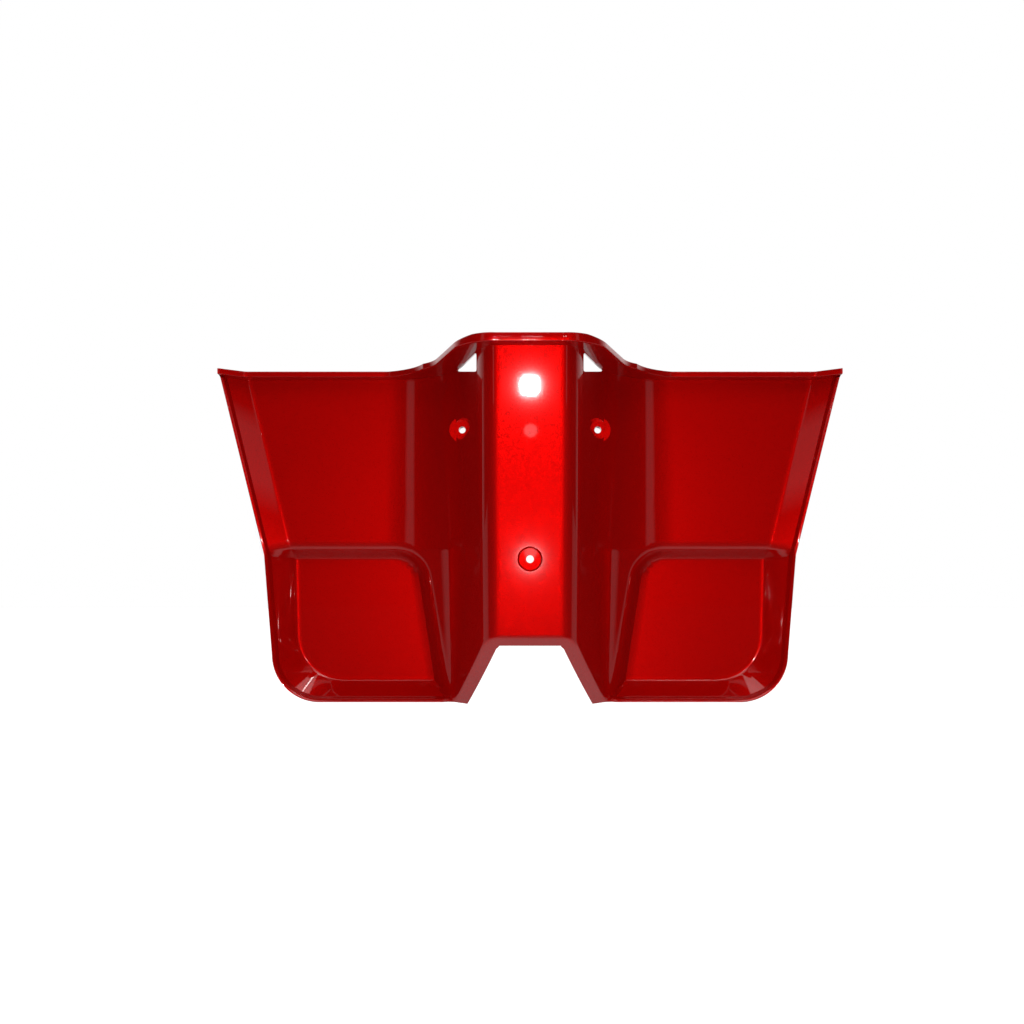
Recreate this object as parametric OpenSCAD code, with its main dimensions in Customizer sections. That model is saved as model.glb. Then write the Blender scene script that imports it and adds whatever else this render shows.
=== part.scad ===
// Front panel of a small electric scooter, seen from the rider's side.
// One moulded shell: two wings with a lower pocket each, a hollow steering column cover
// between them, a forward lip all round, a hoop across the top and an arched notch below.
// Millimetres. The origin is the middle of the centre screw seat, the rider looks along +Y.

/* [Shell] */
// Thickness of the moulded wall
wall = 3; // [2:0.5:4]
// Height of the wings' top edge over the centre screw
top_z = 150.8; // [140:0.5:165]
// Height of the rim's lower edge over the centre screw
bottom_z = -121.8; // [-130:0.2:-115]
// How far the centre screw seat stands in front of the upper wing floor
seat_front = 86; // [84:0.5:87]

/* [Rim] */
// Half width of the rim at the wings' top edge
rim_top = 258.5; // [250:0.5:262]
// Half width of the rim at the waist
rim_waist = 223.3; // [220:0.2:230]
// Half width of the rim where its lower corner starts
rim_foot = 217.3; // [214:0.1:219]
// Height of the waist
waist_z = 2.8; // [-10:0.2:15]
// Radius of the rim's lower corner
rim_corner = 40; // [32:1:46]
// How far the rim stands in front of the wing floor at the top
rim_front_top = 12; // [10:0.5:20]
// How far the rim stands in front of the wing floor at the bottom
rim_front_bottom = 3.5; // [1:0.5:5]
// Width of the lip's flat edge
lip_edge = 2.5; // [2:0.1:3.5]
// Width of the lip's inner flank
lip_flank = 1.5; // [1:0.1:2]
// Height of the lip
lip_rise = 4.5; // [3:0.1:6]

/* [Border crease] */
// Half width of the border's inner crease at the wings' top edge
crease_top = 238.9; // [234:0.1:242]
// Half width of the inner crease at the waist
crease_waist = 202.3; // [199:0.1:206]
// Half width of the inner crease where its lower corner starts
crease_foot = 201; // [197:0.5:203]
// Height of the inner crease along the bottom
crease_bottom_z = -106; // [-110:0.5:-100]
// Radius of the inner crease's lower corner
crease_corner = 41; // [32:1:46]

/* [Pocket] */
// Depth of the lower pocket under the upper wing floor
pocket_depth = 15.3; // [8:0.1:20]
// Height of the upper edge of the pocket's wall
step_z = 7; // [0:0.5:14]
// Width of the pocket's wall
step_wall = 7.4; // [5:0.1:10]
// Width of the rounding over the pocket's wall
step_round = 8; // [4:0.5:10]
// Drop of that rounding
step_lip = 3; // [1:0.5:4]
// Radius of the pocket's upper inner corner
pocket_corner = 24; // [16:1:30]
// Half distance between the pockets at the step
pocket_in_top = 92.5; // [88:0.5:98]
// Half distance between the pockets at the bottom
pocket_in_bottom = 75.2; // [73:0.1:80]

/* [Column] */
// Height of the column face's upper end
column_top_z = 158.8; // [155:0.1:162]
// Height of the column face's lower edge
column_bottom_z = -60.2; // [-66:0.2:-54]
// Half width of the column's flat face
face_half = 24.5; // [20:0.5:28]
// How far the face stands in front of the wings at its top
face_front_top = 111; // [104:0.5:116]
// How far the face stands in front of the wings at its bottom
face_front_bottom = 85; // [82:0.5:88]
// Half width of the column's crease at the top
ridge_top = 40; // [38:0.1:42]
// Half width of the column's crease at the bottom
ridge_bottom = 37.2; // [34:0.1:40]
// Drop from the face to the crease at the top
ridge_drop_top = 14.8; // [10:0.1:17]
// Drop from the face to the crease at the bottom
ridge_drop_bottom = 9; // [6:0.5:12]
// Half width of the column's root at the top
root_top = 69.4; // [66:0.1:73]
// Half width of the column's root at the bottom
root_bottom = 66.9; // [64:0.1:69]
// Radius of the sweep between the column and the wing at the top
sweep_top = 67; // [50:1:75]
// Radius of that sweep at the pocket's step
sweep_step = 78; // [60:1:85]
// Radius of that sweep at the bottom
sweep_bottom = 20; // [10:1:30]

/* [Top edge] */
// Rise of the top flange for each millimetre forward
flange_rise = 0.07; // [0.04:0.005:0.1]
// Reach of the top flange from the wings and the column's face
flange_reach = 11.5; // [9:0.5:14]
// Reach of the top flange where it is widest, beside the column
plate_reach = 24; // [16:0.5:28]
// Height of the top flange's face along the wings
edge_height = 4.8; // [4:0.1:7]
// Height of the top flange's face over the column
hoop_height = 6.5; // [5:0.1:9]

/* [Windows] */
// Half distance between the outer corners of the windows beside the column's top
window_out = 60.5; // [57:0.5:61.5]
// Height of the window's lowest corner
window_low_z = 142.2; // [139:0.1:145]
// Gap between the window and the column's crease
window_gap = 0.8; // [0.5:0.1:2]
// Gap between the window and the top flange
window_drop = 0.6; // [0.5:0.1:2]
// Rise of the window's cut for each millimetre back
window_rise = 0.12; // [0:0.01:0.15]

/* [Notch] */
// Fall of the notch for each millimetre back
notch_fall = 0.773; // [0.7:0.001:0.85]
// Forward place of the notch at the rim
notch_front = 8; // [6:0.1:9]
// Width of the notch's flange
flange_width = 11.5; // [8:0.5:13]

/* [Screw seats] */
// Diameter of the centre screw hole
centre_hole = 6; // [4:0.1:7]
// Diameter of the centre seat
centre_seat = 16.5; // [14:0.1:17.5]
// Diameter of the centre recess at its mouth
centre_mouth = 19; // [18:0.1:22]
// Half distance between the side screws
side_x = 55.4; // [54:0.2:57]
// Height of the side screws
side_z = 104.8; // [100:0.2:110]
// How far the side seats stand in front of the wing floor
side_front = 33; // [31:0.5:35]
// Diameter of the side screw holes
side_hole = 5.5; // [4:0.1:7]
// Diameter of the side recesses
side_recess = 16; // [13:0.2:18]
// Length of the side bosses behind their seats
side_boss = 10; // [8:0.5:12]
// Wall of the cups that hold the recesses
cup_wall = 2.5; // [2:0.1:3]

/* [Hidden] */
$fn = 48;

// Cells of the surface along and across its parts
cells_above = 8;
cells_round = 3;
cells_wall = 2;
cells_below = 4;
cells_arc = 4;
cells_bottom = 6;
cells_border = 3;
cells_side = 6;
cells_shoulder = 4;
cells_face = 2;
cells_flange = 2;

// Half of the step used to measure the surface's slope
slope_step = 0.4;
// Share of the flange's widening that is reached at the column's crease
ridge_share = 0.5;
// Height below which the rows of the surface fan out to the lower edges
fan_z = step_z - step_wall - 4;

function tail(list) = [for (k = [1 : len(list) - 1]) list[k]];
function mix(a, b, t) = a + (b - a) * t;
function unit(t) = min(max(t, 0), 1);
// Distance inside two edges a and c away that meet in a corner of radius r
function inside(a, c, r) = a < r && c < r ? r - norm([r - a, r - c]) : min(a, c);

rim_arc_z = bottom_z + rim_corner;
crease_arc_z = crease_bottom_z + crease_corner;

// Half width of a side that widens from its foot to its waist and on to the top edge
function side_half(z, foot, foot_z, waist, top) = z > waist_z
    ? mix(waist, top, (z - waist_z) / (top_z - waist_z))
    : mix(foot, waist, unit((z - foot_z) / (waist_z - foot_z)));
function rim_half(z) = side_half(z, rim_foot, rim_arc_z, rim_waist, rim_top);
function crease_half(z) = side_half(z, crease_foot, crease_arc_z, crease_waist, crease_top);
function rim_inside(x, z) = inside(rim_half(z) - abs(x), z - bottom_z, rim_corner);
function crease_inside(x, z) = inside(crease_half(z) - abs(x), z - crease_bottom_z, crease_corner);

// Share of the way from the inner crease to the rim
function border_share(x, z) =
    let (out = max(-crease_inside(x, z), 0), in = max(rim_inside(x, z), 0))
    out > 0 ? out / (out + in) : 0;

// Share of the pocket's depth at distance q past the top of its wall
function pocket_share(q) = q < -step_round ? 0
    : q < 0 ? step_lip / pocket_depth * pow(1 + q / step_round, 2)
    : q < step_wall ? mix(step_lip / pocket_depth, 1, q / step_wall)
    : 1;
function pocket_in(z) = mix(pocket_in_bottom, pocket_in_top, (z - crease_bottom_z) / (step_z - crease_bottom_z));

function rim_front(z) = mix(rim_front_bottom, rim_front_top, unit((z - bottom_z) / (top_z - bottom_z)));
function border(x, z) = mix(-pocket_depth * pocket_share(step_z - z), rim_front(z), border_share(x, z));
function lip(x, z) = lip_rise * unit((lip_edge + lip_flank - rim_inside(x, z)) / lip_flank);

// The column's face, shoulders and sloping sides
function along(z) = (z - column_bottom_z) / (column_top_z - column_bottom_z);
function face_front(z) = mix(face_front_bottom, face_front_top, along(z));
function ridge_half(z) = mix(ridge_bottom, ridge_top, along(z));
function ridge_front(z) = face_front(z) - mix(ridge_drop_bottom, ridge_drop_top, along(z));
function root_half(z) = mix(root_bottom, root_top, along(z));
function column(x, z) = abs(x) < ridge_half(z)
    ? face_front(z) - (face_front(z) - ridge_front(z)) * pow(max(abs(x) - face_half, 0) / (ridge_half(z) - face_half), 2)
    : ridge_front(z) * (root_half(z) - abs(x)) / (root_half(z) - ridge_half(z));

// The hollow sweep from the column's side out to the wing, of radius r, before the pocket is cut
function side_slope(z) = ridge_front(z) / (root_half(z) - ridge_half(z));
function sweep_radius(z) = z > step_z
    ? mix(sweep_step, sweep_top, (z - step_z) / (top_z - step_z))
    : mix(sweep_bottom, sweep_step, unit((z - bottom_z) / (step_z - bottom_z)));
function sweep_end(z) = root_half(z) + sweep_radius(z) * tan(atan(side_slope(z)) / 2);
function sweep(x, z) = let (r = sweep_radius(z), in = sweep_end(z) - abs(x))
    in <= 0 ? 0
    : in < r * sin(atan(side_slope(z))) ? r - sqrt(r * r - in * in)
    : column(x, z);
function wing(x, z) =
    mix(sweep(x, z), -pocket_depth, pocket_share(inside(step_z - z, abs(x) - pocket_in(z), pocket_corner)));
function main_front(x, z) = max(wing(x, z), border(x, z), column(x, z));

// The notch's plane, which falls away under the column
function notch(x, z) = notch_front + (z - notch_z) / notch_fall + max(abs(x) - notch_half, 0);
notch_z = column_bottom_z - (face_front_bottom - notch_front) * notch_fall;

// Forward place of the shell's front, with the rim's lip or without it
function front(x, z, lip_here) = min(main_front(x, z) + lip_here, notch(x, z));
function slope(x, z) = norm([
    front(x + slope_step, z, 0) - front(x - slope_step, z, 0),
    front(x, z + slope_step, 0) - front(x, z - slope_step, 0)]) / (2 * slope_step);
function back(x, z) = front(x, z, 0) - wall * norm([1, slope(x, z)]);

function front_point(p) = [p[0], seat_front - front(p[0], p[1], lip(p[0], p[1])), p[1]];
function back_point(p) = [p[0], seat_front - back(p[0], p[1]), p[1]];

// Where the column's side meets the notch's plane, at half width x
function notch_meet(x, z = bottom_z, turns = 6) = turns == 0 ? z
    : notch_meet(x, notch_z + notch_fall * (column(x, z) - notch_front), turns - 1);
// Where the top flange leaves the surface, at half width x
function flange_z(forward) = top_z + flange_rise * forward;
function flange_meet(x, z = top_z, turns = 6) = turns == 0 ? z
    : flange_meet(x, flange_z(main_front(x, z)), turns - 1);
notch_half = root_half(bottom_z)
    - (notch_front + (bottom_z - notch_z) / notch_fall) * (root_half(bottom_z) - ridge_half(bottom_z)) / ridge_front(bottom_z);

// Heights of the rows down the left crease, from the top edge to the corner
row_z = concat(
    [for (k = [0 : cells_above - 1]) mix(top_z, step_z + step_round, k / cells_above)],
    [for (k = [0 : cells_round - 1]) step_z + step_round * (1 - k / cells_round)],
    [for (k = [0 : cells_wall]) step_z - step_wall * k / cells_wall],
    [for (k = [0 : cells_below]) mix(fan_z, crease_arc_z, k / cells_below)]);

// A corner's quarter arc, in cells from its side to its bottom
function corner_arc(half, r, low_z, from, to) = [for (k = [from : to])
    let (turn = 45 * k / cells_arc) [-(half - r + r * cos(turn)), low_z + r * (1 - sin(turn))]];
corner_x = pocket_in_bottom + step_wall;
crease_side = concat([for (z = row_z) [-crease_half(z), z]],
    corner_arc(crease_foot, crease_corner, crease_bottom_z, 1, cells_arc));
crease_base = concat(corner_arc(crease_foot, crease_corner, crease_bottom_z, cells_arc, 2 * cells_arc),
    [for (k = [1 : cells_bottom]) [-mix(crease_foot - crease_corner, corner_x, k / cells_bottom), crease_bottom_z]]);
rim_side = concat(
    [for (z = row_z) let (low = z > fan_z ? z : mix(fan_z, rim_arc_z, (z - fan_z) / (crease_arc_z - fan_z)))
        [-rim_half(low), low]],
    corner_arc(rim_foot, rim_corner, bottom_z, 1, cells_arc));
rim_base = concat(corner_arc(rim_foot, rim_corner, bottom_z, cells_arc, 2 * cells_arc),
    [for (k = [1 : cells_bottom]) [-mix(rim_foot - rim_corner, notch_half, k / cells_bottom), bottom_z]]);
crease_path = concat(crease_side, tail(crease_base));
rim_path = concat(rim_side, tail(rim_base));

// Places across the border, from the rim over the lip to the crease
function across(width) = concat([0, lip_edge / width, (lip_edge + lip_flank) / width],
    [for (k = [1 : cells_border]) mix((lip_edge + lip_flank) / width, 1, k / cells_border)]);
border_rows = [for (k = [0 : len(rim_path) - 1])
    [for (w = across(rim_inside(crease_path[k][0], crease_path[k][1]))) mix(rim_path[k], crease_path[k], w)]];
mitre = let (row = border_rows[len(rim_path) - 1], last = len(row) - 1) [for (k = [0 : last]) row[last - k]];

// Lines down the field, from the crease to the column's root and on to the middle
cells_mitre = len(mitre) - 1;
side_share = [for (k = [1 : cells_side]) k / cells_side];
shoulder_share = [for (k = [1 : cells_shoulder]) k / cells_shoulder];
wall_x = pocket_in(fan_z);

// Half widths of the lines between the pocket's wall and the middle, at the top, at fan_z and at the bottom
function toward_middle(root, ridge) = concat(
    [for (s = side_share) mix(root, ridge, s)],
    [for (s = shoulder_share) mix(ridge, face_half, s)],
    [for (k = [1 : cells_face]) face_half * (1 - k / cells_face)]);
line_top = concat([for (k = [0 : cells_mitre]) mix(sweep_end(top_z), root_top, k / cells_mitre)],
    toward_middle(root_top, ridge_top));
line_fan = concat([wall_x + step_wall, wall_x + step_wall / 2, wall_x],
    [for (k = [3 : cells_mitre]) mix(wall_x, root_half(fan_z), (k - 2) / (cells_mitre - 2))],
    toward_middle(root_half(fan_z), ridge_half(fan_z)));
line_low = concat([for (p = mitre) -p[0]], toward_middle(notch_half, ridge_bottom));
line_low_z = concat([for (p = mitre) p[1]],
    [for (x = toward_middle(notch_half, ridge_bottom)) notch_meet(x)]);
lines = len(line_top);
line_high_z = [for (x = line_top) flange_meet(x)];

// Height of a row on a line whose ends are given
low_row_z = crease_base[0][1];
function line_z(z, high, low) = z > fan_z
    ? mix(fan_z, high, (z - fan_z) / (top_z - fan_z))
    : mix(fan_z, low, (z - fan_z) / (low_row_z - fan_z));
function line_half(k, z) = z > fan_z
    ? mix(line_fan[k], line_top[k], (z - fan_z) / (line_high_z[k] - fan_z))
    : mix(line_fan[k], line_low[k], (z - fan_z) / (line_low_z[k] - fan_z));

// The field's rows: across the wing, then on over the column to the middle
base_start = crease_base[0][0];
base_end = -corner_x;
field_rows = [for (edge = crease_side) concat(
    [for (k = [0 : len(crease_base) - 2])
        let (share = (crease_base[k][0] - base_start) / (base_end - base_start),
            z = line_z(edge[1], top_z, crease_base[k][1]))
        [mix(edge[0], -line_half(0, line_z(edge[1], line_high_z[0], line_low_z[0])), share), z]],
    [for (k = [0 : lines - 1])
        let (z = line_z(edge[1], line_high_z[k], line_low_z[k])) [-line_half(k, z), z]])];

// The top flange's section, carried along the shell's upper edge
top_line = concat(border_rows[0], tail(field_rows[0]));
top_plan = [for (p = top_line) [p[0], main_front(p[0], p[1])]];
function along_unit(a, b) = (b - a) / norm(b - a);
function leftward(u) = [-u[1], u[0]];
function outward(k) = k < len(border_rows[0]) || k == len(top_plan) - 1 ? [0, 1]
    : let (a = leftward(along_unit(top_plan[k - 1], top_plan[k])), b = leftward(along_unit(top_plan[k], top_plan[k + 1])))
        (a + b) / (1 + a * b);
// Reach of the flange at half width x of the surface
function reach_at(x) = mix(flange_reach, plate_reach, lookup(abs(x),
    [[face_half, 0], [ridge_top, ridge_share], [root_top, 1], [sweep_end(top_z), 0]]));
function edge_face(x) = lookup(abs(x), [[(face_half + ridge_top) / 2, hoop_height], [ridge_top, edge_height]]);
// A point of the flange: in from its free edge, and up over its underside
function flange_point(k, in, up) =
    let (p = top_plan[k] + outward(k) * (reach_at(top_plan[k][0]) - in))
    [p[0], seat_front - p[1], flange_z(p[1]) + up];
function flange_row(in, up) = [for (k = [0 : len(top_plan) - 1]) flange_point(k, in, up)];
function edge_row(in) = [for (k = [0 : len(top_plan) - 1]) flange_point(k, in, edge_face(top_plan[k][0]))];
face_row = edge_row(0);
inner_row = edge_row(wall);
under_row = flange_row(0, 0);
over_row = flange_row(wall, wall);
start_row = [for (p = top_line) front_point(p)];
back_row = [for (p = top_line) back_point(p)];
crown_row = [for (p = back_row) p + [0, 0, wall]];
flange_patches = [[face_row, under_row, start_row], [back_row, crown_row, over_row, inner_row, face_row]];
flange_end = [under_row[0], start_row[0], back_row[0], crown_row[0], over_row[0], inner_row[0], face_row[0]];

// The flange's rows, from the column's lower edge to the flange's free edge
plane_length = norm([1, notch_fall]) / notch_fall;
low_edge = [for (k = [cells_mitre : lines - 1]) [-line_low[k], line_low_z[k]]];
ridge_low = low_edge[cells_side];
run = [ridge_low[0] - low_edge[0][0], (ridge_low[1] - low_edge[0][1]) * plane_length];
side_turn = atan2(run[0], run[1]);
function flange_turn(k) = k <= cells_side ? 90 - side_turn
    : (90 - side_turn) * max(1 - (k - cells_side) / cells_shoulder, 0);
function flange_offset(k) = [sin(flange_turn(k)), -cos(flange_turn(k)) / plane_length] * flange_width;
flange_rows = [for (m = [0 : cells_flange])
    [for (k = [0 : len(low_edge) - 1]) low_edge[k] + flange_offset(k) * m / cells_flange]];

// The shell's free edges, clockwise as the rider sees them
last_row = len(border_rows) - 1;
outer_edge = [for (k = [0 : last_row]) border_rows[last_row - k][0]];
flange_edge = flange_rows[cells_flange];
inner_edge = concat([for (k = [0 : len(flange_edge) - 1]) flange_edge[len(flange_edge) - 1 - k]],
    [for (m = [1 : cells_flange]) flange_rows[cells_flange - m][0]]);

function fronts(rows) = [for (row = rows) [for (p = row) front_point(p)]];
function backs(rows) = [for (row = rows) [for (k = [len(row) - 1 : -1 : 0]) back_point(row[k])]];
function edge_band(path) = [[for (k = [len(path) - 1 : -1 : 0]) front_point(path[k])],
    [for (k = [len(path) - 1 : -1 : 0]) back_point(path[k])]];
surfaces = [border_rows, field_rows, flange_rows];
patches = concat([for (rows = surfaces) fronts(rows)], [for (rows = surfaces) backs(rows)],
    flange_patches, [edge_band(outer_edge), edge_band(inner_edge)]);

// Two triangles for each cell of a patch, along the shorter diagonal
function cell_faces(patch, j, k) =
    let (a = patch[j][k], b = patch[j][k + 1], c = patch[j + 1][k + 1], d = patch[j + 1][k])
    norm(a - c) < norm(b - d) ? [[a, b, c], [a, c, d]] : [[a, b, d], [b, c, d]];
left_half = concat(
    [for (patch = patches) for (j = [0 : len(patch) - 2]) for (k = [0 : len(patch[0]) - 2])
        for (face = cell_faces(patch, j, k)) face],
    [for (k = [1 : len(flange_end) - 2]) [flange_end[0], flange_end[k], flange_end[k + 1]]]);
function mirrored(p) = [-p[0], p[1], p[2]];
triangles = concat(left_half, [for (face = left_half) [mirrored(face[2]), mirrored(face[1]), mirrored(face[0])]]);

module shell() {
    polyhedron(
        points = [for (face = triangles) for (p = face) p],
        faces = [for (k = [0 : len(triangles) - 1]) [3 * k, 3 * k + 1, 3 * k + 2]]);
}

// A block whose face lies along the middle of the wall at x, z, and which fills all in front of it
module before_wall(x, z) {
    reach = 2 * side_recess;
    tilt = [front(x + slope_step, z, 0) - front(x - slope_step, z, 0), 2 * slope_step,
        front(x, z + slope_step, 0) - front(x, z - slope_step, 0)];
    normal = tilt / norm(tilt);
    translate([x, seat_front - front(x, z, 0), z])
        rotate([asin(normal[2]), 0, atan2(-normal[0], normal[1])])
            translate([-reach, wall / 2 - 4 * reach, -reach]) cube([2 * reach, 4 * reach, 2 * reach]);
}

// A cup behind the wall at x, z, its seat at forward place seat, solid for length behind the seat
module cup(x, z, seat, d, length) {
    depth = front(x, z, 0) - seat;
    translate([x, seat_front - seat + length, z]) rotate([90, 0, 0]) cylinder(h = length, d = d);
    difference() {
        translate([x, seat_front - seat + length, z]) rotate([90, 0, 0])
            cylinder(h = length + depth + d, d = d);
        before_wall(x, z);
    }
}

// A round cut along the rider's view, from forward place seat towards the rider
module bore_at(x, z, seat, h, d_seat, d_mouth) {
    translate([x, seat_front - seat, z]) rotate([90, 0, 0]) cylinder(h = h, d1 = d_seat, d2 = d_mouth);
}
module screw_hole(x, z, seat, d, length) {
    translate([x, seat_front - seat + length + wall, z]) rotate([90, 0, 0])
        cylinder(h = length + 2 * wall, d = d);
}

// The three-cornered window in the column's side, under the top flange
module window() {
    turn = atan(window_rise);
    ridge_x = ridge_half(window_low_z) + window_gap;
    corners = [[ridge_x, window_low_z], [window_out, flange_meet(window_out) - window_drop],
        [ridge_x, flange_meet(ridge_x) - window_drop]];
    outline = [for (c = corners) [c[0], (c[1] - window_rise * (seat_front - front(c[0], c[1], 0))) * cos(turn)]];
    rotate([90 + turn, 0, 0]) linear_extrude(height = 2 * seat_front, center = true) polygon(outline);
}

module front_panel() {
    centre_depth = face_front(0) - seat_front;
    color("red") difference() {
        union() {
            shell();
            cup(0, 0, seat_front, centre_seat + 2 * cup_wall, wall);
            for (side = [-1, 1])
                cup(side * side_x, side_z, side_front, side_recess + 2 * cup_wall, side_boss);
        }
        bore_at(0, 0, seat_front, 2 * centre_depth, centre_seat, 2 * centre_mouth - centre_seat);
        screw_hole(0, 0, seat_front, centre_hole, wall);
        for (side = [-1, 1]) {
            bore_at(side * side_x, side_z, side_front, face_front_top, side_recess, side_recess);
            screw_hole(side * side_x, side_z, side_front, side_hole, side_boss);
            mirror([side < 0 ? 1 : 0, 0, 0]) window();
        }
    }
}

front_panel();
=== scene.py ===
import bmesh
import bpy
import numpy as np
from types import SimpleNamespace
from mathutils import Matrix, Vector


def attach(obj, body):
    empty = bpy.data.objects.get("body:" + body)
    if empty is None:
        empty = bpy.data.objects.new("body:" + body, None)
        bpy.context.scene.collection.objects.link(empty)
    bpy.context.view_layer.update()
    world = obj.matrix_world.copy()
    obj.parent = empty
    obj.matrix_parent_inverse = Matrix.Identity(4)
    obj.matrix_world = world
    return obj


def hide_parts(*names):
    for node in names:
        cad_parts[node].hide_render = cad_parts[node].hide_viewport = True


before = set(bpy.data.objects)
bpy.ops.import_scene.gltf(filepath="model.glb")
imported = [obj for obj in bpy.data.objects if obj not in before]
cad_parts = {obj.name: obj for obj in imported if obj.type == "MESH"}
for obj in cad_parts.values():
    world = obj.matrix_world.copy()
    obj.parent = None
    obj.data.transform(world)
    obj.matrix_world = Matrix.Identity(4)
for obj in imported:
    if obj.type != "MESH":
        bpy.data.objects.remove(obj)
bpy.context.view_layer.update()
mm = 0.001
print("frame loaded:", sorted(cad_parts))

# Sizes in millimetres. Height is over the centre screw, "front" is how far a point
# stands towards the rider from the upper wing floor.
panel = {
    "wall": 3.0, "topZ": 150.8, "bottomZ": -121.8, "seatFront": 86.0,
    "rimTop": 258.5, "rimWaist": 223.3, "rimFoot": 217.3, "waistZ": 2.8, "rimCorner": 40.0,
    "rimFrontTop": 12.0, "rimFrontBottom": 3.5, "lipEdge": 2.5, "lipFlank": 1.5, "lipRise": 4.5, "lipFade": 8.0,
    "creaseTop": 238.9, "creaseWaist": 202.3, "creaseFoot": 201.0, "creaseBottomZ": -106.0,
    "creaseCorner": 41.0,
    "pocketDepth": 15.3, "stepZ": 7.0, "stepWall": 7.4, "stepRound": 8.0, "stepLip": 3.0,
    "pocketCorner": 24.0, "pocketInTop": 92.5, "pocketInBottom": 75.2,
    "columnTopZ": 158.8, "columnBottomZ": -60.2, "faceHalf": 24.5, "faceFrontTop": 111.0,
    "faceFrontBottom": 85.0, "ridgeTop": 40.0, "ridgeBottom": 37.2, "ridgeDropTop": 14.8,
    "ridgeDropBottom": 9.0, "rootTop": 69.4, "rootBottom": 66.9,
    "sweepTop": 67.0, "sweepStep": 78.0, "sweepBottom": 20.0,
    "flangeRise": 0.07, "flangeReach": 11.5, "plateReach": 24.0, "ridgeShare": 0.5, "edgeHeight": 4.8, "hoopHeight": 6.5,
    "notchFall": 0.773, "notchFront": 8.0, "flangeWidth": 11.5,
    "rounding": 1.3,      # how far the paint and the mould round each crease
    "edgeRadius": 0.8,    # radius along the free edges
}
cells = {
    "above": 34, "round": 12, "wall": 12, "below": 30, "arc": 12, "bottom": 22,
    "lipEdge": 5, "lipFlank": 4, "border": 16, "pocketWall": 9, "side": 30, "shoulder": 12, "face": 14,
    "flange": 7, "corner": 3,
}
p, n = SimpleNamespace(**panel), SimpleNamespace(**cells)


def mix(a, b, t):
    # a + (b - a) t
    return a + (b - a) * t


def unit(t):
    # t held between 0 and 1
    return np.clip(t, 0.0, 1.0)


def spread(count, first=True):
    # places from 0 to 1 that crowd at both ends: (1 - cos(pi k / count)) / 2
    t = (1 - np.cos(np.pi * np.arange(count + 1) / count)) / 2
    return t if first else t[1:]


def even(count, first=True):
    # places from 0 to 1 in equal steps: k / count
    t = np.arange(count + 1) / count
    return t if first else t[1:]


def inside(a, c, r):
    # distance inside two edges a and c away that meet in a corner of radius r:
    # r - |(r - a, r - c)| in the corner, the nearer edge elsewhere
    return np.where((a < r) & (c < r), r - np.hypot(r - a, r - c), np.minimum(a, c))


def sideHalf(z, foot, footZ, waist, top):
    # half width: straight from the foot to the waist, then straight to the top edge
    upper = mix(waist, top, (z - p.waistZ) / (p.topZ - p.waistZ))
    lower = mix(foot, waist, unit((z - footZ) / (p.waistZ - footZ)))
    return np.where(z > p.waistZ, upper, lower)


rimArcZ = p.bottomZ + p.rimCorner
creaseArcZ = p.creaseBottomZ + p.creaseCorner


def rimHalf(z):
    return sideHalf(z, p.rimFoot, rimArcZ, p.rimWaist, p.rimTop)


def creaseHalf(z):
    return sideHalf(z, p.creaseFoot, creaseArcZ, p.creaseWaist, p.creaseTop)


def rimInside(x, z):
    return inside(rimHalf(z) - abs(x), z - p.bottomZ, p.rimCorner)


def creaseInside(x, z):
    return inside(creaseHalf(z) - abs(x), z - p.creaseBottomZ, p.creaseCorner)


def pocketShare(q):
    # share of the pocket's depth at distance q past the top of its wall:
    # a parabola over the rounding, a straight wall, then the floor
    lip = p.stepLip / p.pocketDepth
    overRound = lip * (1 + np.minimum(q, 0) / p.stepRound) ** 2
    overWall = mix(lip, 1, unit(q / p.stepWall))
    return np.where(q < -p.stepRound, 0, np.where(q < 0, overRound, overWall))


def pocketIn(z):
    return mix(p.pocketInBottom, p.pocketInTop, (z - p.creaseBottomZ) / (p.stepZ - p.creaseBottomZ))


def along(z):
    # 0 at the column's lower edge, 1 at its top
    return (z - p.columnBottomZ) / (p.columnTopZ - p.columnBottomZ)


def faceFront(z):
    return mix(p.faceFrontBottom, p.faceFrontTop, along(z))


def ridgeHalf(z):
    return mix(p.ridgeBottom, p.ridgeTop, along(z))


def ridgeFront(z):
    return faceFront(z) - mix(p.ridgeDropBottom, p.ridgeDropTop, along(z))


def rootHalf(z):
    return mix(p.rootBottom, p.rootTop, along(z))


def column(x, z):
    # flat face, a parabola down to the ridge, then a straight side to the root
    a, ridge = abs(x), ridgeHalf(z)
    shoulder = np.maximum(a - p.faceHalf, 0) / (ridge - p.faceHalf)
    cover = faceFront(z) - (faceFront(z) - ridgeFront(z)) * shoulder ** 2
    side = ridgeFront(z) * (rootHalf(z) - a) / (rootHalf(z) - ridge)
    return np.where(a < ridge, cover, side)


def sweep(x, z):
    # a circle that is tangent to the column's side and to the wing: r - sqrt(r^2 - in^2)
    lean = np.arctan(ridgeFront(z) / (rootHalf(z) - ridgeHalf(z)))
    upper = mix(p.sweepStep, p.sweepTop, (z - p.stepZ) / (p.topZ - p.stepZ))
    lower = mix(p.sweepBottom, p.sweepStep, unit((z - p.bottomZ) / (p.stepZ - p.bottomZ)))
    r = np.where(z > p.stepZ, upper, lower)
    within = rootHalf(z) + r * np.tan(lean / 2) - abs(x)
    arc = r - np.sqrt(np.maximum(r * r - within * within, 0))
    return np.where(within <= 0, 0, np.where(within < r * np.sin(lean), arc, column(x, z)))


def sweepEnd(z):
    lean = np.arctan(ridgeFront(z) / (rootHalf(z) - ridgeHalf(z)))
    return rootHalf(z) + p.sweepTop * np.tan(lean / 2)


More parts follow.
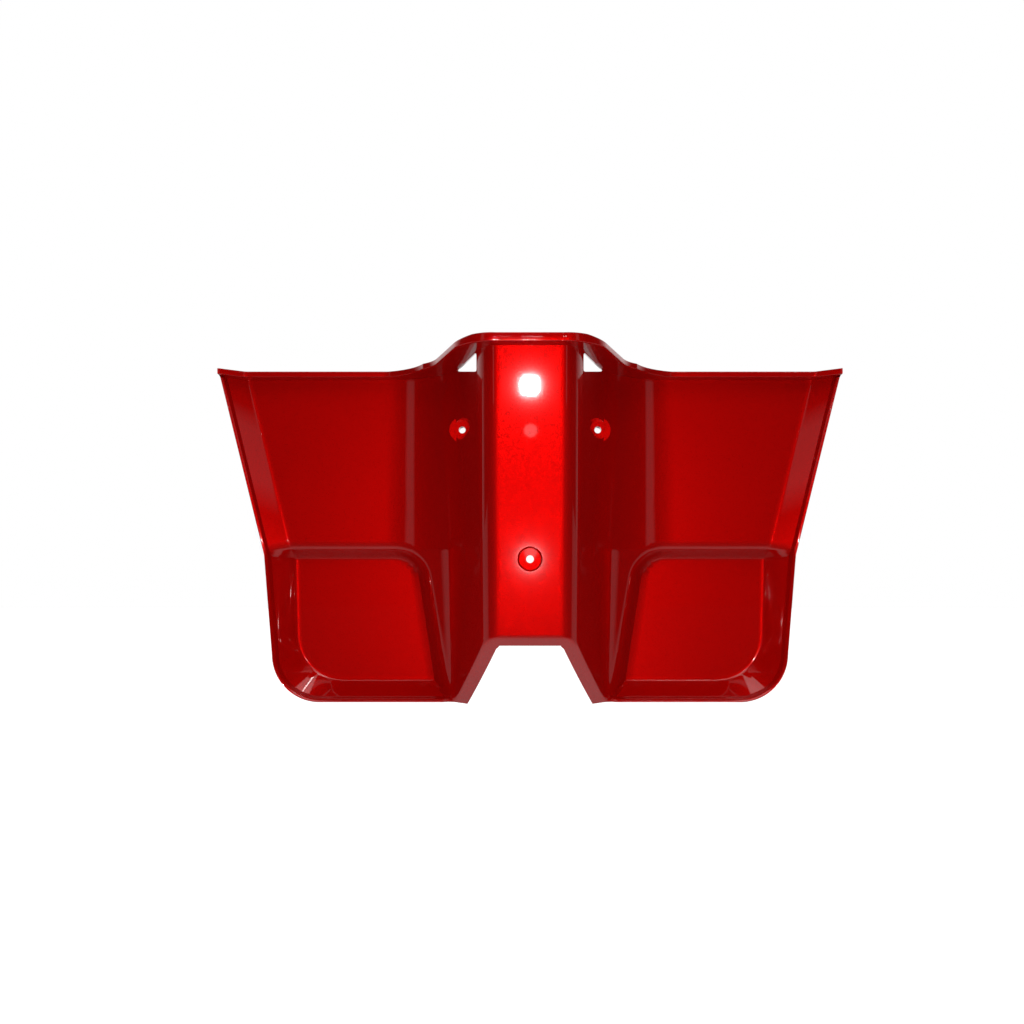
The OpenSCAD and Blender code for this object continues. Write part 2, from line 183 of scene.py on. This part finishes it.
def mainFront(x, z):
    # the highest of the wing with its pocket, the border and the column
    pocket = pocketShare(inside(p.stepZ - z, abs(x) - pocketIn(z), p.pocketCorner))
    wing = mix(sweep(x, z), -p.pocketDepth, pocket)
    out, within = np.maximum(-creaseInside(x, z), 0), np.maximum(rimInside(x, z), 0)
    share = np.where(out > 0, out / np.maximum(out + within, 1e-6), 0)
    rimFront = mix(p.rimFrontBottom, p.rimFrontTop, unit((z - p.bottomZ) / (p.topZ - p.bottomZ)))
    border = mix(-p.pocketDepth * pocketShare(p.stepZ - z), rimFront, share)
    return np.maximum(np.maximum(wing, border), column(x, z))


notchZ = p.columnBottomZ - (p.faceFrontBottom - p.notchFront) * p.notchFall
notchHalf = rootHalf(p.bottomZ) - (p.notchFront + (p.bottomZ - notchZ) / p.notchFall) * (
    rootHalf(p.bottomZ) - ridgeHalf(p.bottomZ)) / ridgeFront(p.bottomZ)


def rawFront(x, z):
    # the main surface, cut by the notch's falling plane
    notch = p.notchFront + (z - notchZ) / p.notchFall + np.maximum(abs(x) - notchHalf, 0)
    return np.minimum(mainFront(x, z), notch)


ringTurns = np.pi * np.arange(6) / 3
ringOffsets = [(0.0, 0.0)] + [(r * np.cos(t + r), r * np.sin(t + r))
                              for r in (p.rounding * 0.5, p.rounding) for t in ringTurns]


def front(x, z):
    # the mean of the raw height over the middle and two rings round it, which rounds the creases
    return sum(rawFront(x + a, z + b) for a, b in ringOffsets) / len(ringOffsets)


def backOf(x, z):
    # the wall's other face: lower by wall sqrt(1 + slope^2)
    d = 0.4
    sx = (front(x + d, z) - front(x - d, z)) / (2 * d)
    sz = (front(x, z + d) - front(x, z - d)) / (2 * d)
    return front(x, z) - p.wall * np.sqrt(1 + sx ** 2 + sz ** 2)


def lipOf(x, z):
    # the lip's flat edge and flank, eased over edgeRadius at the rim itself,
    # and fading out over lipFade beside the notch
    d = rimInside(x, z)
    lip = p.lipRise * unit((p.lipEdge + p.lipFlank - d) / p.lipFlank)
    e = np.clip(p.edgeRadius - d, 0, p.edgeRadius)
    fade = unit((abs(x) - notchHalf - 2) / p.lipFade)
    return (lip - (p.edgeRadius - np.sqrt(p.edgeRadius ** 2 - e ** 2))) * fade


def place(x, forward, z):
    # millimetres on the panel to the frame's x, y, z
    return np.stack(np.broadcast_arrays(x, p.seatFront - forward, z), -1)


def frontPoints(grid):
    x, z = grid[..., 0], grid[..., 1]
    return place(x, front(x, z) + lipOf(x, z), z)


def backPoints(grid):
    x, z = grid[..., 0], grid[..., 1]
    return place(x, backOf(x, z), z)


def settle(rule, z):
    # the height where a line meets a surface, by putting the rule into itself
    for turn in range(8):
        z = rule(z)
    return z


def notchMeet(x):
    return settle(lambda z: notchZ + p.notchFall * (column(x, z) - p.notchFront), np.full_like(x, p.bottomZ))


def flangeZ(forward):
    return p.topZ + p.flangeRise * forward


def flangeMeet(x):
    return settle(lambda z: flangeZ(front(x, z)), np.full_like(x, p.topZ))


# Rows down the crease, from the top edge to the lower corner
fanZ = p.stepZ - p.stepWall - 4
rowZ = np.concatenate([
    mix(p.topZ, p.stepZ + p.stepRound, spread(n.above))[:-1],
    mix(p.stepZ + p.stepRound, p.stepZ, even(n.round))[:-1],
    mix(p.stepZ, p.stepZ - p.stepWall, spread(n.wall)),
    mix(p.stepZ - p.stepWall, fanZ, even(3, False)),
    mix(fanZ, creaseArcZ, even(n.below, False))])


def cornerArc(half, r, lowZ, start, end):
    # a quarter circle from the side to the bottom, in equal turns
    turn = np.pi / 4 * np.arange(start, end + 1) / n.arc
    return np.stack([-(half - r + r * np.cos(turn)), lowZ + r * (1 - np.sin(turn))], -1)


def line(x, z):
    return np.stack(np.broadcast_arrays(x, z), -1)


cornerX = p.pocketInBottom + p.stepWall
creaseSide = np.concatenate([line(-creaseHalf(rowZ), rowZ),
                             cornerArc(p.creaseFoot, p.creaseCorner, p.creaseBottomZ, 1, n.arc)])
creaseBase = np.concatenate([
    cornerArc(p.creaseFoot, p.creaseCorner, p.creaseBottomZ, n.arc, 2 * n.arc),
    line(-mix(p.creaseFoot - p.creaseCorner, cornerX, even(n.bottom, False)), p.creaseBottomZ)])
rimZ = np.where(rowZ > fanZ, rowZ, mix(fanZ, rimArcZ, (rowZ - fanZ) / (creaseArcZ - fanZ)))
rimSide = np.concatenate([line(-rimHalf(rimZ), rimZ), cornerArc(p.rimFoot, p.rimCorner, p.bottomZ, 1, n.arc)])
rimBase = np.concatenate([
    cornerArc(p.rimFoot, p.rimCorner, p.bottomZ, n.arc, 2 * n.arc),
    line(-mix(p.rimFoot - p.rimCorner, notchHalf, even(n.bottom, False)), p.bottomZ)])
creasePath = np.concatenate([creaseSide, creaseBase[1:]])
rimPath = np.concatenate([rimSide, rimBase[1:]])

# Across the border: the lip's edge and flank in millimetres, then the slope to the crease
width = rimInside(creasePath[:, 0], creasePath[:, 1])[:, None]
lipWidth = p.lipEdge + p.lipFlank
onLip = np.concatenate([p.lipEdge * spread(n.lipEdge), p.lipEdge + p.lipFlank * even(n.lipFlank, False)])[None]
across = np.concatenate([onLip / width, mix(lipWidth / width, 1, spread(n.border, False)[None])], 1)[..., None]
borderGrid = mix(rimPath[:, None], creasePath[:, None], across)
mitre = borderGrid[-1][::-1]

# The field's lines, from the crease over the pocket's wall to the root, the ridge and the middle
mitreCells = len(mitre) - 1
wallX = pocketIn(fanZ)


def towardMiddle(root, ridge):
    return np.concatenate([mix(root, ridge, spread(n.side, False)), mix(ridge, p.faceHalf, even(n.shoulder, False)),
                           p.faceHalf * (1 - even(n.face, False))])


lineTop = np.concatenate([mix(sweepEnd(p.topZ), p.rootTop, even(mitreCells)), towardMiddle(p.rootTop, p.ridgeTop)])
lineFan = np.concatenate([
    wallX + p.stepWall * (1 - even(n.pocketWall)),
    mix(wallX, rootHalf(fanZ), even(mitreCells - n.pocketWall, False)),
    towardMiddle(rootHalf(fanZ), ridgeHalf(fanZ))])
lowHalf = towardMiddle(notchHalf, p.ridgeBottom)
lineLow = np.concatenate([-mitre[:, 0], lowHalf])
lineLowZ = np.concatenate([mitre[:, 1], notchMeet(lowHalf)])
lineHighZ = flangeMeet(lineTop)
lowRowZ = creaseBase[0][1]


def lineZ(z, high, low):
    # heights fan out from fanZ to each line's own two ends
    up = mix(fanZ, high, (z - fanZ) / (p.topZ - fanZ))
    down = mix(fanZ, low, (z - fanZ) / (lowRowZ - fanZ))
    return np.where(z > fanZ, up, down)


def lineHalf(k, z):
    up = mix(lineFan[k], lineTop[k], (z - fanZ) / (lineHighZ[k] - fanZ))
    down = mix(lineFan[k], lineLow[k], (z - fanZ) / (lineLowZ[k] - fanZ))
    return np.where(z > fanZ, up, down)


share = ((creaseBase[:-1, 0] - creaseBase[0, 0]) / (-cornerX - creaseBase[0, 0]))[None]
edgeX, edgeZ = creaseSide[:, :1], creaseSide[:, 1:]
wingZ = lineZ(edgeZ, p.topZ, creaseBase[:-1, 1][None])
wingX = mix(edgeX, -lineHalf(0, lineZ(edgeZ, lineHighZ[0], lineLowZ[0])), share)
coreZ = lineZ(edgeZ, lineHighZ[None], lineLowZ[None])
coreX = -lineHalf(np.arange(len(lineTop)), coreZ)
fieldGrid = np.concatenate([line(wingX, wingZ), line(coreX, coreZ)], 1)
print("grids:", borderGrid.shape, fieldGrid.shape)

# The notch's flange lies in the falling plane, flangeWidth wide
lowEdge = line(-lineLow[mitreCells:], lineLowZ[mitreCells:])
planeLength = np.hypot(1, p.notchFall) / p.notchFall
run = (lowEdge[n.side] - lowEdge[0]) * [1, planeLength]
fullTurn = np.pi / 2 - np.arctan2(run[0], run[1])
turnShare = np.concatenate([np.ones(n.side + 1), 1 - even(n.shoulder, False), np.zeros(n.face)])
flangeStep = np.stack([np.sin(fullTurn * turnShare), -np.cos(fullTurn * turnShare) / planeLength], -1) * p.flangeWidth
flangeGrid = lowEdge[None] + flangeStep[None] * spread(n.flange)[:, None, None]

# The top flange's section, carried along the shell's upper edge in the direction that
# halves the corner between neighbouring stretches
topLine = np.concatenate([borderGrid[0], fieldGrid[0][1:]])
plan = np.stack([topLine[:, 0], front(topLine[:, 0], topLine[:, 1])], -1)
legs = np.diff(plan, axis=0)
legs /= np.linalg.norm(legs, axis=1)[:, None]
left = np.stack([-legs[:, 1], legs[:, 0]], -1)
outward = np.tile([0.0, 1.0], (len(plan), 1))
first = borderGrid.shape[1]
before, after = left[first - 1:-1], left[first:]
outward[first:-1] = (before + after) / (1 + (before * after).sum(1))[:, None]
edgeFace = np.interp(abs(plan[:, 0]), [(p.faceHalf + p.ridgeTop) / 2, p.ridgeTop], [p.hoopHeight, p.edgeHeight])
reach = mix(p.flangeReach, p.plateReach, np.interp(
    abs(plan[:, 0]), [p.faceHalf, p.ridgeTop, p.rootTop, sweepEnd(p.topZ)], [0, p.ridgeShare, 1, 0]))


def flangeRow(within, up):
    # a line of the flange: in from its free edge, up over its underside
    q = plan + outward * (reach - within)[:, None]
    return place(q[:, 0], q[:, 1], flangeZ(q[:, 1]) + up)


quarter = np.pi / 2 * even(n.corner)
er = p.edgeRadius
underRows = [flangeRow(reach * t, 0) for t in (0.8, 0.6, 0.4, 0.2)]
underRows += [flangeRow(er - er * np.sin(a), er - er * np.cos(a)) for a in quarter]
faceRows = [flangeRow(np.zeros_like(reach), mix(er, edgeFace - er, 0.5))]
faceRows += [flangeRow(er - er * np.cos(a), edgeFace - er + er * np.sin(a)) for a in quarter]
insideRows = [flangeRow(p.wall - er + er * np.sin(a), edgeFace - er + er * np.cos(a)) for a in quarter]
insideRows += [flangeRow(p.wall, p.wall)]
startRow, backRow = frontPoints(topLine), backPoints(topLine)
crownRow = backRow + [0, 0, p.wall]
sectionGrid = np.stack([startRow] + underRows + faceRows + insideRows + [crownRow, backRow])
capRing = sectionGrid[:, 0]
capMiddle = flangeRow(p.wall / 2, p.wall / 2)[0]

# The shell's two free edges, between the front and the back
outerEdge = borderGrid[:, 0]
innerEdge = np.concatenate([flangeGrid[-1][::-1], flangeGrid[:-1, 0][::-1]])


def bandPoints(path):
    return np.stack([frontPoints(path), backPoints(path)])


def quads(rows, columns):
    # each cell's four corners, row by row
    k = np.arange(rows * columns).reshape(rows, columns)
    return np.stack([k[:-1, :-1], k[:-1, 1:], k[1:, 1:], k[1:, :-1]], -1).reshape(-1, 4)


def meshFrom(name, grids, fans=()):
    # grids of points and fans (middle, ring) in millimetres, mirrored about x = 0 and merged
    points, faces, start = [], [], 0
    for grid in grids:
        rows, columns = grid.shape[:2]
        points.append(grid.reshape(-1, 3))
        faces += (quads(rows, columns) + start).tolist()
        start += rows * columns
    for middle, ring in fans:
        count = len(ring)
        points.append(np.concatenate([ring, middle[None]]))
        k = np.arange(count)
        faces += np.stack([k, (k + 1) % count, np.full(count, count)], -1).__add__(start).tolist()
        start += count + 1
    half = np.concatenate(points) * mm
    mesh = bpy.data.meshes.new(name)
    both = np.concatenate([half, half * [-1, 1, 1]])
    mesh.from_pydata(both.tolist(), [], faces + [[v + start for v in reversed(f)] for f in faces])
    bm = bmesh.new()
    bm.from_mesh(mesh)
    bmesh.ops.remove_doubles(bm, verts=bm.verts, dist=2e-5)
    bmesh.ops.recalc_face_normals(bm, faces=bm.faces)
    bm.to_mesh(mesh)
    open_ = sum(1 for e in bm.edges if len(e.link_faces) != 2)
    bm.free()
    piece = bpy.data.objects.new(name, mesh)
    bpy.context.scene.collection.objects.link(piece)
    print(name, len(mesh.vertices), "points,", len(mesh.polygons), "faces,", open_, "open edges")
    return piece


shell = meshFrom("front_panel_shell",
                 [frontPoints(borderGrid), frontPoints(fieldGrid), frontPoints(flangeGrid),
                  backPoints(borderGrid), backPoints(fieldGrid), backPoints(flangeGrid),
                  sectionGrid, bandPoints(outerEdge), bandPoints(innerEdge)],
                 [(capMiddle, capRing)])

# Screw seats, windows and the parts of the cuts, in millimetres
seats = SimpleNamespace(**{
    "centreHole": 6.0, "centreSeat": 16.5, "centreMouth": 19.0,
    "sideX": 55.4, "sideZ": 104.8, "sideFront": 33.0, "sideHole": 5.5, "sideRecess": 16.0,
    "cupWall": 2.5, "sideBoss": 10.0, "sides": 72,
    "windowOut": 60.5, "windowLowZ": 142.2, "windowGap": 0.8, "windowDrop": 0.6, "windowRise": 0.12,
    "windowCorner": 1.5,
})


def newPiece(name, points, faces):
    mesh = bpy.data.meshes.new(name)
    mesh.from_pydata(points.tolist(), [], faces)
    bm = bmesh.new()
    bm.from_mesh(mesh)
    bmesh.ops.remove_doubles(bm, verts=bm.verts, dist=1e-6)
    bmesh.ops.recalc_face_normals(bm, faces=bm.faces)
    bm.to_mesh(mesh)
    bm.free()
    piece = bpy.data.objects.new(name, mesh)
    bpy.context.scene.collection.objects.link(piece)
    return piece


def turned(name, x, z, radii, forward):
    # a solid turned about the rider's line of view through x, z: at turn t and step k its point is
    # (x + r cos t, forward, z + r sin t), where forward may depend on the point's own place
    t = 2 * np.pi * np.arange(seats.sides) / seats.sides
    r = np.asarray(radii, float)[:, None]
    px, pz = x + r * np.cos(t), z + r * np.sin(t)
    f = np.stack([np.broadcast_to(rule(px[k], pz[k]), t.shape) for k, rule in enumerate(forward)])
    grid = place(px, f, pz) * mm
    k = np.arange(len(radii) * seats.sides).reshape(len(radii), seats.sides)
    nxt = np.roll(k, -1, axis=1)
    faces = np.stack([k[:-1], nxt[:-1], nxt[1:], k[1:]], -1).reshape(-1, 4).tolist()
    return newPiece(name, grid.reshape(-1, 3), faces)


def level(f):
    return lambda x, z: np.full_like(x, f)


def cup(name, x, z, seat, behind, radius):
    # from behind the seat up to the middle of the wall, or to the seat where that is higher
    rings = np.linspace(0, radius, 7)
    wallMiddle = lambda a, b: np.maximum((front(a, b) + backOf(a, b)) / 2, seat)
    return turned(name, x, z, [0.0] + [radius] * 2 + list(rings[-2::-1]),
                  [level(seat - behind)] * 2 + [wallMiddle] * 7)


def bore(name, x, z, low, high, lowRadius, highRadius):
    return turned(name, x, z, [0.0, lowRadius, highRadius, 0.0], [level(low)] * 2 + [level(high)] * 2)


def rounded(outline, r, count=6):
    # each corner's two tangent points at r / tan(half angle), joined by a short curve
    q = np.asarray(outline, float)
    toPrev, toNext = np.roll(q, 1, 0) - q, np.roll(q, -1, 0) - q
    a = toPrev / np.linalg.norm(toPrev, axis=1)[:, None]
    b = toNext / np.linalg.norm(toNext, axis=1)[:, None]
    half = np.arccos((a * b).sum(1)) / 2
    reach = (r / np.tan(half))[:, None, None]
    t = even(count)[None, :, None]
    curve = (1 - t) ** 2 * a[:, None] * reach + t ** 2 * b[:, None] * reach
    return (q[:, None] + curve).reshape(-1, 2)


def prism(name, outline, low, high, rise):
    # an outline in x and z, carried along the line of view and up by rise for each millimetre back
    count = len(outline)
    ends = [place(outline[:, 0], f, outline[:, 1] + rise * (p.seatFront - f)) for f in (low, high)]
    k = np.arange(count)
    sides = np.stack([k, (k + 1) % count, (k + 1) % count + count, k + count], -1).tolist()
    return newPiece(name, np.concatenate(ends) * mm, sides + [k.tolist(), (k + count).tolist()])


def combine(piece, others, operation):
    # the piece joined with, or cut by, the others one after another, which then go
    for other in others:
        m = piece.modifiers.new(operation.lower(), "BOOLEAN")
        m.operation, m.solver, m.object = operation, "EXACT", other
        dg = bpy.context.evaluated_depsgraph_get()
        done = bpy.data.meshes.new_from_object(piece.evaluated_get(dg))
        piece.modifiers.clear()
        piece.data = done
        bpy.data.objects.remove(other)


cups, cuts = [], []
cups.append(cup("centre_cup", 0, 0, p.seatFront, p.wall, seats.centreSeat / 2 + seats.cupWall))
depth = float(faceFront(0)) - p.seatFront
cuts.append(bore("centre_recess", 0, 0, p.seatFront, p.seatFront + 2 * depth, seats.centreSeat / 2,
                 seats.centreMouth - seats.centreSeat / 2))
cuts.append(bore("centre_hole", 0, 0, p.seatFront - 3 * p.wall, p.seatFront + 1, seats.centreHole / 2,
                 seats.centreHole / 2))
ridgeX = float(ridgeHalf(seats.windowLowZ)) + seats.windowGap
windowX = np.array([ridgeX, seats.windowOut, ridgeX])
windowZ = np.append(seats.windowLowZ, flangeMeet(windowX[1:]) - seats.windowDrop)
sightZ = windowZ - seats.windowRise * (p.seatFront - front(windowX, windowZ))
corners = rounded(np.stack([windowX, sightZ], -1), seats.windowCorner)
cups.append(cup("side_cup", seats.sideX, seats.sideZ, seats.sideFront, seats.sideBoss,
                seats.sideRecess / 2 + seats.cupWall))
cuts.append(bore("side_recess", seats.sideX, seats.sideZ, seats.sideFront - 0.04, p.faceFrontTop,
                 seats.sideRecess / 2, seats.sideRecess / 2))
cuts.append(bore("side_hole", seats.sideX, seats.sideZ, seats.sideFront - 2 * seats.sideBoss, seats.sideFront + 1,
                 seats.sideHole / 2, seats.sideHole / 2))
cuts.append(prism("side_window", corners, -p.faceFrontTop, 2 * p.faceFrontTop, seats.windowRise))
combine(shell, cups, "UNION")
combine(shell, cuts, "DIFFERENCE")

# The cut half is kept and mirrored about x = 0, so both sides are alike
bm = bmesh.new()
bm.from_mesh(shell.data)
bmesh.ops.triangulate(bm, faces=[face for face in bm.faces if len(face.verts) > 4])
bmesh.ops.remove_doubles(bm, verts=bm.verts, dist=4e-6)
everything = bm.verts[:] + bm.edges[:] + bm.faces[:]
bmesh.ops.bisect_plane(bm, geom=everything, dist=2e-6, plane_co=(0, 0, 0), plane_no=(1, 0, 0), clear_inner=True)
bmesh.ops.mirror(bm, geom=bm.verts[:] + bm.edges[:] + bm.faces[:], axis="X", merge_dist=4e-6)
edgePoints = {v for e in bm.edges if len(e.link_faces) != 2 for v in e.verts}
bmesh.ops.remove_doubles(bm, verts=list(edgePoints), dist=6e-5)
bmesh.ops.recalc_face_normals(bm, faces=bm.faces)
print("open edges after the cuts:", sum(1 for e in bm.edges if len(e.link_faces) != 2))
bm.to_mesh(shell.data)
bm.free()
shell.data.shade_smooth()
shell.data.set_sharp_from_angle(angle=np.radians(32))
print("shell cut:", len(shell.data.polygons), "faces")


class Flow:
    # wraps a socket, so that an expression on values adds its Math nodes
    def __init__(self, tree, socket):
        self.tree, self.socket = tree, socket

    def node(self, kind, settings=None, **values):
        made = self.tree.nodes.new(kind)
        for key, value in (settings or {}).items():
            setattr(made, key, value)
        for key, value in values.items():
            self.put(made, key.replace("_", " "), value)
        return made

    def put(self, made, key, value):
        target = made.inputs[int(key[1:])] if key[0] == "i" and key[1:].isdigit() else made.inputs[key]
        if isinstance(value, Flow):
            self.tree.links.new(value.socket, target)
        elif hasattr(value, "is_output"):
            self.tree.links.new(value, target)
        else:
            target.default_value = value

    def of(self, socket):
        return Flow(self.tree, socket)

    def math(self, operation, a, b=0.0):
        return self.of(self.node("ShaderNodeMath", {"operation": operation}, i0=a, i1=b).outputs[0])

    def __add__(self, other): return self.math("ADD", self, other)
    def __radd__(self, other): return self.math("ADD", other, self)
    def __sub__(self, other): return self.math("SUBTRACT", self, other)
    def __rsub__(self, other): return self.math("SUBTRACT", other, self)
    def __mul__(self, other): return self.math("MULTIPLY", self, other)
    def __rmul__(self, other): return self.math("MULTIPLY", other, self)


paint = {
    "deep": (0.36, 0.0006, 0.0004, 1), "bright": (0.42, 0.0009, 0.0006, 1),
    "metallic": 0.55, "finest": 0.26, "coarsest": 0.70, "coatRoughness": 0.032,
    "flakeScale": 2600.0, "cloudScale": 9.0, "peelScale": 160.0, "peelDepth": 0.00003,
}


def candyPaint():
    mat = bpy.data.materials.new("red_paint")
    mat.use_nodes = True
    tree = mat.node_tree
    tree.nodes.clear()
    f = Flow(tree, None)
    coords = f.node("ShaderNodeTexCoord").outputs["Object"]
    flakes = f.node("ShaderNodeTexVoronoi", {"feature": "F1"}, Vector=coords, Scale=paint["flakeScale"])
    flake = f.of(f.node("ShaderNodeSeparateColor", None, Color=flakes.outputs["Color"]).outputs[0])
    cloud = f.of(f.node("ShaderNodeTexNoise", None, Vector=coords, Scale=paint["cloudScale"], Detail=2.0).outputs[0])
    share = flake * 0.35 + cloud * 0.65
    colour = f.node("ShaderNodeMix", {"data_type": "RGBA"})
    f.put(colour, "i0", share)
    colour.inputs[6].default_value = paint["deep"]
    colour.inputs[7].default_value = paint["bright"]
    peel = f.node("ShaderNodeTexNoise", None, Vector=coords, Scale=paint["peelScale"], Detail=1.0)
    bump = f.node("ShaderNodeBump", None, Strength=0.25, Distance=paint["peelDepth"], Height=peel.outputs[0])
    shader = f.node("ShaderNodeBsdfPrincipled", None, **{
        "Base Color": f.of(colour.outputs[2]), "Metallic": paint["metallic"],
        "Roughness": flake * (paint["coarsest"] - paint["finest"]) + paint["finest"],
        "Specular IOR Level": 0.0, "Normal": bump.outputs[0],
        "Coat Weight": 1.0, "Coat Roughness": paint["coatRoughness"], "Coat IOR": 1.5})
    out = f.node("ShaderNodeOutputMaterial")
    tree.links.new(shader.outputs[0], out.inputs[0])
    return mat


shell.data.materials.clear()
shell.data.materials.append(candyPaint())
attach(shell, "root")
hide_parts("front_panel")
print("paint done")

studio = {
    "floorZ": -0.42, "ambient": 0.30, "behind": 1.0, "room": 0.012,
    "bandSide": 0.78, "bandHalf": 0.2, "band": 0.32,
    "flashPower": 2.7, "flashSize": 0.021, "flashZ": 0.0708, "lowPower": 1.6, "lowZ": -0.195,
    "lowSize": 0.014, "softPower": 8.0, "tubePower": 0.9, "glintPower": 0.02, "cardPower": 0.002,
}


def held(flow):
    # the value held between 0 and 1
    flow.socket.node.use_clamp = True
    return flow


def whiteFor(tree):
    # white to the camera, and to reflections of what lies behind the panel; the side behind the
    # camera is a dark room with a paler band on either hand, where |x| / -y is about bandSide,
    # and the matt share of the paint gets an even, plain light
    f = Flow(tree, None)
    path = f.node("ShaderNodeLightPath")
    direction = f.node("ShaderNodeTexCoord").outputs["Generated"]
    axes = f.node("ShaderNodeSeparateXYZ", None, Vector=direction)
    x, y = f.of(axes.outputs["X"]), f.of(axes.outputs["Y"])
    back = held(y * 3.0 - 0.6)
    across = x.math("ABSOLUTE", x).math("DIVIDE", x.math("ABSOLUTE", x), y.math("MAXIMUM", 0.01, 0.0 - y))
    away = across.math("ABSOLUTE", across - studio["bandSide"])
    band = held((studio["bandHalf"] - away) * (2 / studio["bandHalf"]))
    glossy = f.of(path.outputs["Is Glossy Ray"])
    seen = f.of(path.outputs["Is Camera Ray"]).math("MAXIMUM", f.of(path.outputs["Is Camera Ray"]),
                                                  f.of(path.outputs["Is Transmission Ray"]))
    mirrored = back * (studio["behind"] - studio["room"]) + band * studio["band"] + studio["room"]
    others = glossy * (mirrored - studio["ambient"]) + studio["ambient"]
    return f, seen + (1 - seen) * others


world = bpy.data.worlds.new("studio")
bpy.context.scene.world = world
world.use_nodes = True
f, strength = whiteFor(world.node_tree)
f.put(world.node_tree.nodes["Background"], "Strength", strength)
world.node_tree.nodes["Background"].inputs["Color"].default_value = (1, 1, 1, 1)

floorMat = bpy.data.materials.new("pale_floor")
floorMat.use_nodes = True
shader = floorMat.node_tree.nodes["Principled BSDF"]
shader.inputs["Roughness"].default_value = 0.6
shader.inputs["Emission Color"].default_value = (1, 1, 1, 1)
f = Flow(floorMat.node_tree, None)
path = f.node("ShaderNodeLightPath")
f.put(shader, "Emission Strength", f.of(path.outputs["Is Camera Ray"]) * 0.85)
y = f.of(f.node("ShaderNodeSeparateXYZ", None, Vector=f.node("ShaderNodeTexCoord").outputs["Object"]).outputs["Y"])
# painted shade: glossy rays see the floor dark (0.05) in front of the panel, so the paint reflects a dark room there;
# other rays see it at 0.9
paintedReflectionShade = f.node("ShaderNodeMix", {"data_type": "RGBA"}, i0=held(-0.5 - y * 5.0) * f.of(path.outputs["Is Glossy Ray"]))
paintedReflectionShade.inputs[6].default_value = (0.9, 0.9, 0.9, 1)
paintedReflectionShade.inputs[7].default_value = (0.05, 0.05, 0.05, 1)
f.put(shader, "Base Color", paintedReflectionShade.outputs[2])
k = 6.0
floor = newPiece("floor", np.array([(-k, -k, studio["floorZ"]), (k, -k, studio["floorZ"]),
                                    (k, k, studio["floorZ"]), (-k, k, studio["floorZ"])]), [(0, 1, 2, 3)])
floor.data.materials.append(floorMat)


def areaLight(name, place, aim, size, power, sizeY=None):
    data = bpy.data.lights.new(name, "AREA")
    data.energy, data.size = power, size
    if sizeY:
        data.shape, data.size_y = "RECTANGLE", sizeY
    lamp = bpy.data.objects.new(name, data)
    bpy.context.scene.collection.objects.link(lamp)
    lamp.location = place
    lamp.rotation_euler = (Vector(aim) - Vector(place)).to_track_quat("-Z", "Y").to_euler()
    return lamp


camera = bpy.data.objects.new("camera", bpy.data.cameras.new("camera"))
bpy.context.scene.collection.objects.link(camera)
camera.location = (0, -0.764, 0.0108)
camera.rotation_euler = (np.pi / 2, 0, 0)
camera.data.lens, camera.data.sensor_width = 35.16, 36.0
camera.data.shift_x, camera.data.shift_y = -18 / 1024, 33 / 1024
bpy.context.scene.camera = camera

areaLight("flash", (0, -0.77, studio["flashZ"]), (0, 0, 0.02), studio["flashSize"], studio["flashPower"])
areaLight("low_lamp", (0, -0.77, studio["lowZ"]), (0, 0, 0.0), studio["lowSize"], studio["lowPower"])
areaLight("glint", (0.004, -0.8, 0.322), (0, 0, 0.165), 0.03, studio["glintPower"], 0.008)
areaLight("pale_glint", (-0.05, -0.8, 0.33), (0, 0, 0.165), 0.036, studio["glintPower"] * 0.6, 0.008)
areaLight("card", (0.001, -0.8, 0.0), (0, 0, 0), 0.02, studio["cardPower"]).data.shape = "DISK"
areaLight("tube", (0.35, -0.55, 1.25), (0.1, 0, 0), 0.5, studio["tubePower"], 0.03)
areaLight("overhead", (0, -0.9, 1.3), (0, 0.05, 0), 1.6, studio["softPower"], 0.9)
bpy.context.scene.view_settings.view_transform = "Standard"
